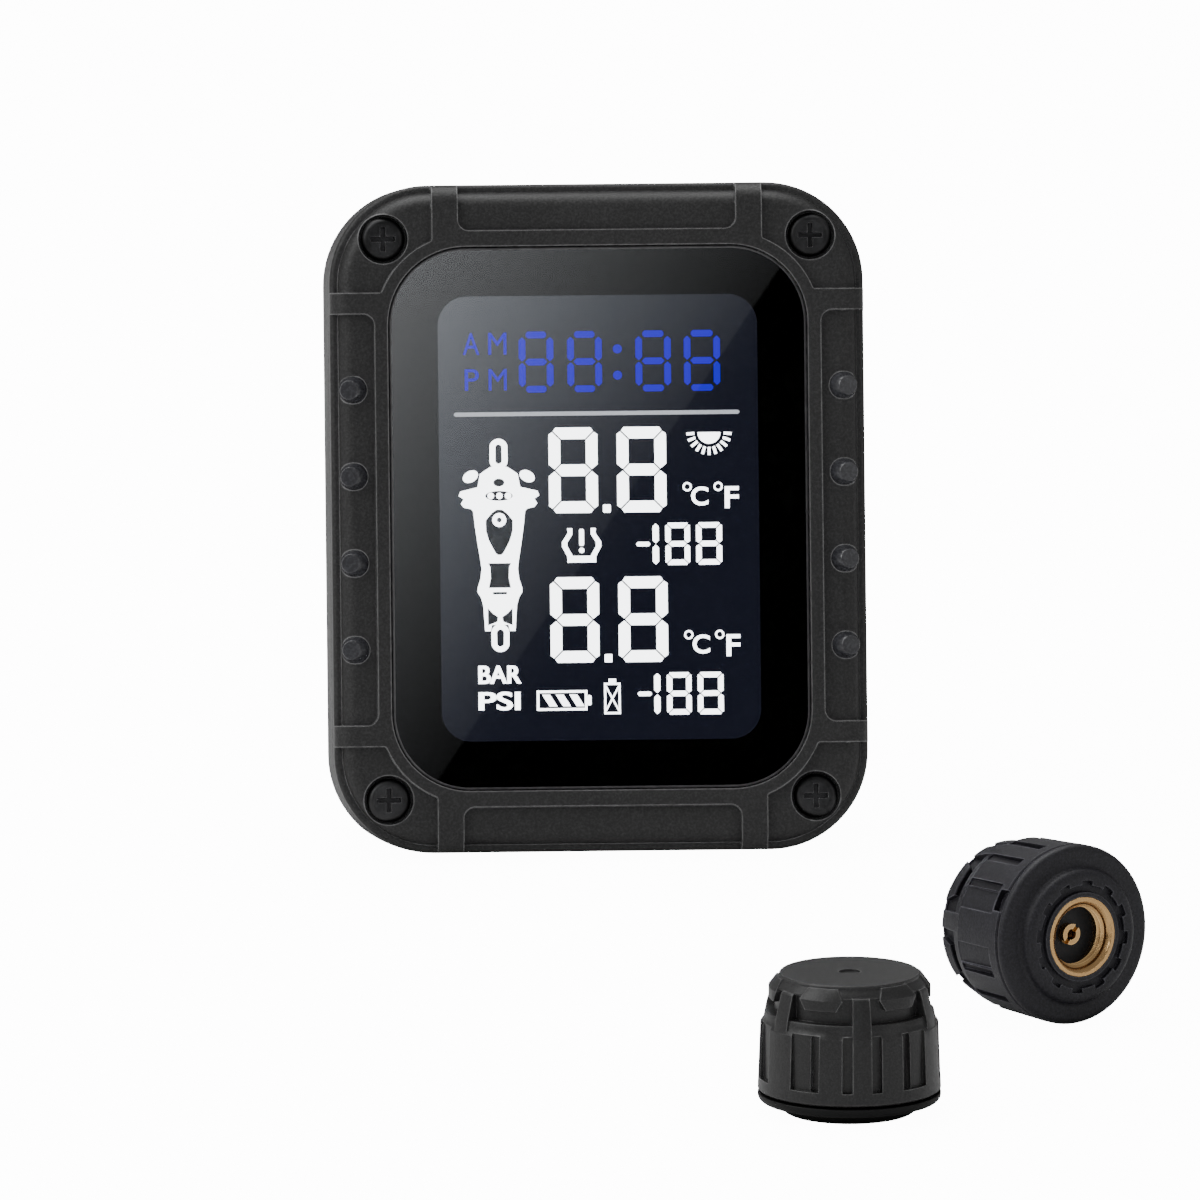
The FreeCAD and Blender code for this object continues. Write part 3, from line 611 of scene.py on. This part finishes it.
def seven_segments(x0, x1, z0, z1, weight, gap, cut):
    """The seven bars of one figure, all lit: mitred at the corners and pointed in the middle."""
    middle, half = (z0 + z1) / 2, weight / 2
    bars = [lit_outline([(x0 + half + gap, middle), (x0 + weight + gap, middle + half),
                         (x1 - weight - gap, middle + half), (x1 - half - gap, middle),
                         (x1 - weight - gap, middle - half), (x0 + weight + gap, middle - half)])]
    for edge, up in ((z1, 1), (z0, -1)):
        bars.append(lit_outline([
            (x0 + cut / 2 + gap, edge - up * cut / 2), (x0 + cut, edge), (x1 - cut, edge),
            (x1 - cut / 2 - gap, edge - up * cut / 2), (x1 - weight - gap, edge - up * weight),
            (x0 + weight + gap, edge - up * weight)][::up]))
        for side, inside in ((x0, 1), (x1, -1)):
            bars.append(lit_outline([
                (side, middle + up * half), (side, edge - up * cut),
                (side + inside * cut / 2, edge - up * (cut / 2 + gap)),
                (side + inside * weight, edge - up * (weight + gap)),
                (side + inside * weight, middle + up * (half + gap)),
                (side + inside * half, middle + up * gap)][::up * inside]))
    return bars


def rounded_segments(x0, x1, z0, z1, weight):
    """A thin-lined figure whose outer corners are cut at 45 degrees, as the clock's are."""
    middle, gap = (z0 + z1) / 2, 0.12
    bars = []
    for z in (z0, z1 - weight):
        bars.append(lit_block(x0 + weight * 1.1, x1 - weight * 1.1, z, z + weight, weight * 0.3))
    bars.append(lit_block(x0 + weight, x1 - weight, middle - weight / 2, middle + weight / 2,
                          weight * 0.45))
    for x in (x0, x1 - weight):
        bars.append(lit_block(x, x + weight, z0 + weight * 0.9, middle - gap, weight * 0.45))
        bars.append(lit_block(x, x + weight, middle + gap, z1 - weight * 0.9, weight * 0.45))
    return bars


def lit_ring(x, z, radius, width, height=None):
    """A closed loop: a round ring, or an upright slot when it is given a height."""
    tall = height or 2 * radius
    ring = lit_disc(x, z, radius)
    pick(ring, lambda vertex: vertex.co.z > z * mm, "vertices")
    bpy.ops.transform.translate(value=(0, 0, (tall / 2 - radius) * mm))
    pick(ring, lambda vertex: vertex.co.z < z * mm, "vertices")
    bpy.ops.transform.translate(value=(0, 0, -(tall / 2 - radius) * mm))
    pick(ring, lambda face: abs(face.normal.y) > 0.9)
    bpy.ops.mesh.inset(thickness=width * mm)
    bpy.ops.mesh.bridge_edge_loops()
    bpy.ops.object.mode_set(mode="OBJECT")
    return ring


def lit_stack(x, levels):
    """An outline that is the same on both sides of an upright line, from (height, half width)."""
    return lit_outline([(x - half, z) for z, half in levels]
                       + [(x + half, z) for z, half in reversed(levels)])


def lit_letters(words, x0, x1, z0, z1, weight=0.0):
    """Plain capitals stretched to fill a box, made a mesh before they are placed."""
    start_fresh()
    bpy.ops.object.text_add()
    letters = bpy.context.object
    letters.data.body = words
    letters.data.offset = weight
    letters.data.extrude = 0.01
    only(letters)
    bpy.ops.object.convert(target="MESH")
    letters = bpy.context.object
    low = [min(v.co[i] for v in letters.data.vertices) for i in range(3)]
    high = [max(v.co[i] for v in letters.data.vertices) for i in range(3)]
    stretch = Matrix.Diagonal(((x1 - x0) * mm / (high[0] - low[0]),
                               (z1 - z0) * mm / (high[1] - low[1]), film / (high[2] - low[2]), 1))
    letters.matrix_world = (Matrix.Translation((x0 * mm, film_front + film, z0 * mm))
                            @ Matrix.Rotation(pi / 2, 4, "X") @ stretch
                            @ Matrix.Translation((-low[0], -low[1], -low[2])))
    return settle(letters)


def turned(piece, degrees, x, z):
    """The piece swung in the plane of the screen about a point on it."""
    piece.matrix_world = (Matrix.Translation((x * mm, 0, z * mm))
                          @ Matrix.Rotation(radians(degrees), 4, "Y")
                          @ Matrix.Translation((-x * mm, 0, -z * mm)))
    return settle(piece)


def join_lit(shapes, name, material):
    """All the shapes of one colour become one film on the panel."""
    start_fresh()
    for shape in shapes:
        shape.select_set(True)
    bpy.context.view_layer.objects.active = shapes[0]
    bpy.ops.object.join()
    joined = lean_back(bpy.context.object, name)
    wear(joined, material)
    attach(joined, "display")
    return joined


def glowing(name, core, rim, strength, body=0.3, **values):
    """A back-lit colour that falls off a little from place to place, as a light guide does."""
    material, tree, shader = new_material(name, Roughness=0.4, **values)
    place = tree.nodes.new("ShaderNodeTexCoord").outputs["Object"]
    spread = noise(tree, place, 70.0, 1.0)
    glow = blend_colours(tree, spread, (*core, 1), (*rim, 1))
    tree.links.new(glow, shader.inputs["Emission Color"])
    tree.links.new(blend_colours(tree, spread, (body, body, body, 1),
                                 (body * 1.3, body * 1.3, body * 1.3, 1)),
                   shader.inputs["Base Color"])
    shader.inputs["Emission Strength"].default_value = strength
    return material


white_glow = glowing("white_segment_light", (1.0, 1.0, 1.0), (0.94, 0.95, 0.97), 6.0)
blue_glow = glowing("blue_segment_light", (0.030, 0.0, 1.0), (0.026, 0.0, 0.92), 0.85, 0.002,
                    Specular_IOR_Level=0.0)
rule_glow = glowing("pale_rule_light", (0.62, 0.64, 0.68), (0.5, 0.52, 0.57), 1.0)

blue = []
for left, right in ((-9.6, -5.4), (-3.7, 0.5), (4.6, 8.9), (10.5, 14.9)):
    blue += rounded_segments(left, right, 15.3, 22.7, 0.80)
blue += [lit_disc(2.4, z, 0.55, sides=12) for z in (17.3, 20.5)]
blue += [lit_letters("A", -16.4, -14.4, 19.95, 22.6), lit_letters("M", -13.3, -11.1, 19.95, 22.6)]
blue += [lit_letters("P", -16.2, -14.5, 15.6, 18.2), lit_letters("M", -13.3, -11.1, 15.6, 18.2)]
join_lit(blue, "clock_segments", blue_glow)
join_lit([lit_block(-17.6, 17.2, 12.45, 12.95, 0.2)], "dividing_rule", rule_glow)

white = []
for top in (11.0, -7.2):
    bottom = top - 10.4
    for left, right in ((-6.1, -0.15), (2.2, 8.2)):
        white += seven_segments(left, right, bottom, top, 1.42, 0.12, 0.85)
    white.append(lit_block(0.45, 1.4, bottom, bottom + 1.0, 0.1))
    degree_z = 3.65 if top > 0 else -14.35
    for ring, left, right, low, letter in ((10.73, 11.2, 13.3, 2.3, "C"),
                                           (14.5, 15.3, 17.0, 2.65, "F")):
        white.append(lit_ring(ring, degree_z, 0.56, 0.22))
        white.append(lit_letters(letter, left, right, degree_z - low, degree_z, 0.02))
for top in (-0.7, -18.9):
    bottom = top - 5.15
    white.append(lit_block(4.45, 6.15, (top + bottom) / 2 - 0.27, (top + bottom) / 2 + 0.27, 0.2))
    white.append(lit_block(6.45, 7.2, bottom + 0.1, (top + bottom) / 2 - 0.1, 0.35))
    white.append(lit_block(6.45, 7.2, (top + bottom) / 2 + 0.1, top - 0.1, 0.35))
    for left, right in ((8.0, 11.0), (11.75, 14.9)):
        white += seven_segments(left, right, bottom, top, 0.66, 0.09, 0.35)
for bold in (0.0, 0.12):
    white.append(lit_letters("BAR", -14.95 + bold, -9.8 + bold, -20.05, -17.85, 0.015))
    white.append(lit_letters("PSI", -14.95 + bold, -9.95 + bold, -23.3, -21.05, 0.015))

# The lamp sign: half a disc with eleven rays round it.
lamp_x, lamp_z = 13.45, 10.25
half_disc = lit_disc(lamp_x, lamp_z, 1.4)
pick(half_disc, lambda vertex: vertex.co.z > lamp_z * mm, "vertices")
bpy.ops.transform.resize(value=(1, 1, 0.01), center_override=(0, 0, lamp_z * mm))
bpy.ops.object.mode_set(mode="OBJECT")
white.append(half_disc)
for ray in range(-5, 6):
    white.append(turned(lit_block(lamp_x - 0.17, lamp_x + 0.17, lamp_z - 2.75, lamp_z - 1.8),
                        ray * 17.2, lamp_x, lamp_z))

# The tyre warning sign: a tyre's cross section, open above, with an exclamation mark in it.
tyre_x, tyre_half = -2.2, [(1.74, -1.25), (1.69, -1.86), (2.38, -2.9), (2.38, -3.5), (1.75, -4.7),
                           (1.75, -5.43)]
tyre_inner = [(1.08, -4.62), (1.74, -3.45), (1.74, -2.98), (1.13, -2.0), (1.13, -1.25)]
white.append(lit_outline([(tyre_x - x, z) for x, z in tyre_half]
                         + [(tyre_x + x, z) for x, z in reversed(tyre_half)]
                         + [(tyre_x + x, z) for x, z in reversed(tyre_inner)]
                         + [(tyre_x - x, z) for x, z in tyre_inner]))
white.append(lit_block(tyre_x - 0.29, tyre_x + 0.29, -3.4, -1.35, 0.12))
white.append(lit_disc(tyre_x, -3.95, 0.33))

# The charging sign: a lying cell with three slanted bars, and an upright crossed-out cell.
white += [lit_block(-7.85, -2.0, z, z + 0.3) for z in (-23.4, -21.25)]
white += [lit_block(x, x + 0.3, -23.4, -20.95) for x in (-7.85, -2.0)]
white.append(lit_block(-1.7, -1.2, -22.8, -21.55, 0.15))
for left in (-7.2, -5.55, -3.9):
    white.append(lit_outline([(left, -21.45), (left + 0.95, -21.45), (left + 1.85, -22.9),
                              (left + 0.9, -22.9)]))
white += [lit_block(x, x + 0.25, -23.9, -20.1) for x in (0.35, 2.1)]
white += [lit_block(0.35, 2.35, z, z + 0.25) for z in (-23.9, -20.35)]
white.append(lit_block(0.9, 1.8, -20.1, -19.6))
for angle in (-28.0, 28.0):
    white.append(turned(lit_block(1.25, 1.45, -23.7, -20.3), angle, 1.35, -22.0))

# The motorcycle seen from above, drawn plain: wheels, mirrors, bars, tank, seat and tail.
bike_x = -12.2
white.append(lit_ring(bike_x, 7.85, 1.1, 0.70, 3.75))
white.append(lit_ring(bike_x, -14.5, 1.1, 0.66, 3.4))
for swing in (-1, 1):
    white.append(turned(lit_disc(bike_x + swing * 3.45, 5.15, 0.68, 1.45), swing * 28.0,
                        bike_x + swing * 3.45, 5.15))
white.append(lit_stack(bike_x, [
    (6.3, 1.0), (6.0, 1.5), (5.45, 2.3), (4.6, 2.45), (3.85, 2.6), (3.35, 4.7), (2.8, 4.9),
    (2.4, 4.3), (1.85, 4.65), (1.4, 4.3), (1.2, 3.4), (0.9, 3.15), (-1.0, 2.95), (-3.4, 2.6),
    (-4.9, 2.35), (-6.1, 2.2), (-7.3, 2.35), (-8.4, 2.7), (-8.9, 2.72), (-9.6, 2.3), (-10.5, 2.05),
    (-12.7, 1.9), (-13.65, 1.85), (-13.65, 1.15), (-12.9, 1.0)]))
join_lit(white, "reading_segments", white_glow)

# The dark details that sit on the motorcycle sign are clear gaps in the film.
film_front -= 0.02 * mm
film = 0.03 * mm
gaps = [lit_disc(bike_x, 4.4, 0.48, 1.4), lit_disc(bike_x, 2.78, 0.6, 2.8),
        lit_stack(bike_x, [(1.1, 0.35), (0.7, 0.9), (-0.2, 1.65), (-1.5, 1.62), (-2.6, 1.3),
                           (-3.5, 0.85), (-4.2, 0.45), (-4.4, 0.2)]),
        lit_stack(bike_x, [(-5.4, 1.4), (-5.9, 1.15), (-7.2, 1.1), (-8.4, 1.35)]),
        lit_block(bike_x - 0.85, bike_x + 0.85, -9.2, -8.9)]
for swing in (-1, 1):
    gaps.append(lit_outline([(bike_x + swing * x, z) for x, z in
                             ((1.5, -10.85), (0.9, -11.5), (0.25, -11.95), (0.35, -12.5),
                              (0.8, -12.7), (1.5, -12.95))]))
dark_gap, gap_tree, gap_shader = new_material("dark_segment_gap", Roughness=0.3)
gap_place = gap_tree.nodes.new("ShaderNodeTexCoord").outputs["Object"]
gap_tree.links.new(blend_colours(gap_tree, noise(gap_tree, gap_place, 80.0),
                                 (0.010, 0.012, 0.020, 1), (0.014, 0.017, 0.026, 1)),
                   gap_shader.inputs["Base Color"])
join_lit(gaps, "sign_gaps", dark_gap)
film_front -= 0.02 * mm
dots = [lit_disc(bike_x + x, 2.78, 0.4) for x in (-1.0, 0.05, 1.1)]
dots.append(lit_ring(bike_x, -0.15, 0.85, 0.55))
join_lit(dots, "sign_dots", white_glow)

# ---- Sensor covers --------------------------------------------------------------------------
# Screw-off caps moulded in satin glass-filled nylon, on bases of the same nylon. Their ribs,
# ledges and lugs are for the fingers, and their edges carry a painted highlight. Sensor A's base
# wears a darker copy of the plastic as painted shade under that sensor.
sensor_plastic = moulded_plastic(
    "sensor_plastic", (0.003, 0.003, 0.003), (0.032, 0.032, 0.0322), (0.17, 0.17, 0.171), 0.42,
    grain=4600.0, relief=0.00003, amount=0.8, Specular_IOR_Level=0.4)
# Painted shade: a darker copy of the sensor plastic, worn by sensor A's base alone.
sensor_foot_painted_shade = moulded_plastic(
    "sensor_foot_painted_shade", (0.0010, 0.0010, 0.0010), (0.0060, 0.0060, 0.0061),
    (0.030, 0.030, 0.031), 0.55, grain=4600.0, relief=0.00003, amount=0.6,
    Specular_IOR_Level=0.22)
sensor_plastic_blue = moulded_plastic(
    "sensor_plastic_blue", (0.002, 0.0019, 0.0026), (0.031, 0.030, 0.040), (0.14, 0.138, 0.16),
    0.50, grain=3800.0, relief=0.00010, amount=0.8, Specular_IOR_Level=0.33)
for letter, plastic, foot_plastic in (("a", sensor_plastic, sensor_foot_painted_shade),
                                      ("b", sensor_plastic_blue, sensor_plastic_blue)):
    cap = polished_copy("sensor_" + letter + "_cover", "sensor_" + letter + "_cap", 0.00009, 25.0)
    wear(cap, plastic)
    foot = polished_copy("sensor_" + letter + "_base", "sensor_" + letter + "_foot", 0.00009, 25.0)
    wear(foot, foot_plastic)

# ---- Valve inserts --------------------------------------------------------------------------
# Turned brass sleeves moulded into the sensors' bases. Inside is the 8V1 thread, 32 turns to the
# inch, whose crests carry a painted highlight, and a slotted hollow pin stands in the
# middle.
brass = machined_metal("turned_brass", (0.50, 0.30, 0.13), (0.92, 0.62, 0.29), 0.20)
thread_pitch, thread_r = 25.4 / 32 * mm, 3.85 * mm
for letter in "ab":
    valve_place, mouth_way = (Vector(mounts["valve_thread_" + letter][key])
                              for key in ("pos_m", "axis"))
    sleeve = polished_copy("sensor_" + letter + "_valve_insert", "sensor_" + letter + "_sleeve",
                           0.00008)
    wear(sleeve, brass)
    start_fresh()
    bpy.ops.mesh.primitive_circle_add(vertices=3, radius=thread_r / 10, fill_type="NOTHING")
    ridge = settle(bpy.context.object)
    ridge.name = "sensor_" + letter + "_thread"
    first_z = -0.70 * mm
    for corner, (r, z) in enumerate(((thread_r + 0.12 * mm, first_z - thread_pitch * 0.40),
                                     (thread_r - 0.36 * mm, first_z),
                                     (thread_r + 0.12 * mm, first_z + thread_pitch * 0.40))):
        here = ridge.data.vertices[corner].co
        way = (r - here.x, -here.y, z - here.z)
        pick(ridge, lambda vertex: vertex.index == corner, "vertices")
        bpy.ops.transform.translate(value=way)
        bpy.ops.object.mode_set(mode="OBJECT")
    wound = ridge.modifiers.new("wound", "SCREW")
    wound.screw_offset, wound.iterations, wound.steps = thread_pitch, 2, 64
    wound.use_merge_vertices = False
    bpy.ops.object.modifier_apply(modifier="wound")
    pick(ridge, lambda face: True)
    bpy.ops.mesh.select_all(action="SELECT")
    bpy.ops.mesh.fill_holes(sides=4)
    bpy.ops.mesh.normals_make_consistent(inside=False)
    bpy.ops.object.mode_set(mode="OBJECT")
    bpy.ops.object.shade_smooth_by_angle(angle=radians(25))
    ridge.matrix_world = (Matrix.Translation(valve_place + mouth_way * -0.125 * mm)
                          @ mouth_way.to_track_quat("-Z", "Y").to_matrix().to_4x4())
    settle(ridge)
    wear(ridge, brass)
    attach(ridge, "sensor_" + letter)

# ---- Parts inside, keys, flap and inserts ---------------------------------------------------
# Circuit boards, cells, springs, seals, the silicone keys and port flap and the brass inserts
# are plain bought or moulded parts, and each has its usual finish.
tinned = machined_metal("tinned_steel", (0.42, 0.43, 0.44), (0.75, 0.76, 0.77), 0.28)
spring_metal = machined_metal("spring_metal", (0.40, 0.35, 0.25), (0.70, 0.64, 0.50), 0.30)
seal_rubber = moulded_plastic("seal_rubber", (0.010, 0.010, 0.011), (0.024, 0.024, 0.026),
                              (0.06, 0.06, 0.062), 0.62, grain=1800.0)
white_guide = moulded_plastic("white_guide", (0.62, 0.62, 0.60), (0.78, 0.78, 0.76),
                              (0.85, 0.85, 0.85), 0.5)
black_moulding = moulded_plastic("black_moulding", (0.015, 0.015, 0.016), (0.03, 0.03, 0.032),
                                 (0.10, 0.10, 0.10), 0.45)
solder_mask = moulded_plastic("solder_mask", (0.006, 0.075, 0.032), (0.012, 0.13, 0.055),
                              (0.30, 0.26, 0.12), 0.35, grain=900.0)
amber_ribbon = moulded_plastic("amber_ribbon", (0.35, 0.16, 0.03), (0.55, 0.28, 0.06),
                               (0.65, 0.40, 0.15), 0.35, grain=1200.0)
foil_pouch = moulded_plastic("foil_pouch", (0.38, 0.40, 0.42), (0.55, 0.57, 0.59),
                             (0.75, 0.76, 0.78), 0.33, grain=700.0)
grey_sponge = moulded_plastic("grey_sponge", (0.04, 0.04, 0.042), (0.12, 0.12, 0.122),
                              (0.15, 0.15, 0.15), 0.85, grain=1600.0, relief=0.0001)
finishes = {"brass_parts": brass, "tinned_steel": tinned, "spring_wire": spring_metal,
            "seal_rubber": seal_rubber, "key_silicone": seal_rubber, "white_plastic": white_guide,
            "switch_plastic": black_moulding, "circuit_board": solder_mask,
            "polyimide": amber_ribbon, "battery_wrap": foil_pouch, "foam": grey_sponge,
            "black_tape": black_moulding}
for entry in frame["record"]["subparts"]:
    if entry["material_slot"] in finishes:
        wear(nodes[entry["node"]], finishes[entry["material_slot"]])
